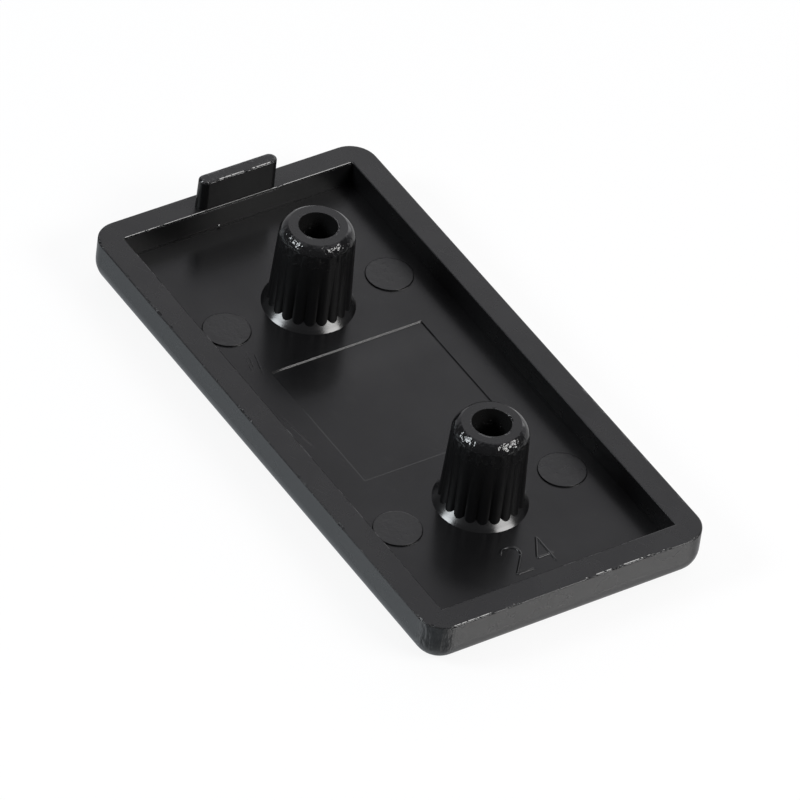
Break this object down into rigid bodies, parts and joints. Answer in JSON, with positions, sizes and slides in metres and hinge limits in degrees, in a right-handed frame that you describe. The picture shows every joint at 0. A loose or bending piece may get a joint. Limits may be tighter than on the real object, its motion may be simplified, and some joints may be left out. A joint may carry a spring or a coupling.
{
  "type": "profile end cap",
  "caption": "Rectangular moulded cover with a shallow tray, ribbed hollow press-in studs and a locating tab; closes the cut end of a slotted profile.",
  "frame": {"origin": "middle of the flat outer face, which is also the middle of the bounding box's underside", "axes": "+Z from the outer face towards the profile, along the studs; +Y along the long side, towards the end that carries the tab; +X across the short side"},
  "size_m": [0.0204, 0.0406, 0.0079],
  "materials": {
    "black_polymer": "semi-gloss black injection-moulded plastic"
  },
  "bodies": {
    "root": {"end_cap": "black_polymer"}
  },
  "joints": []
}
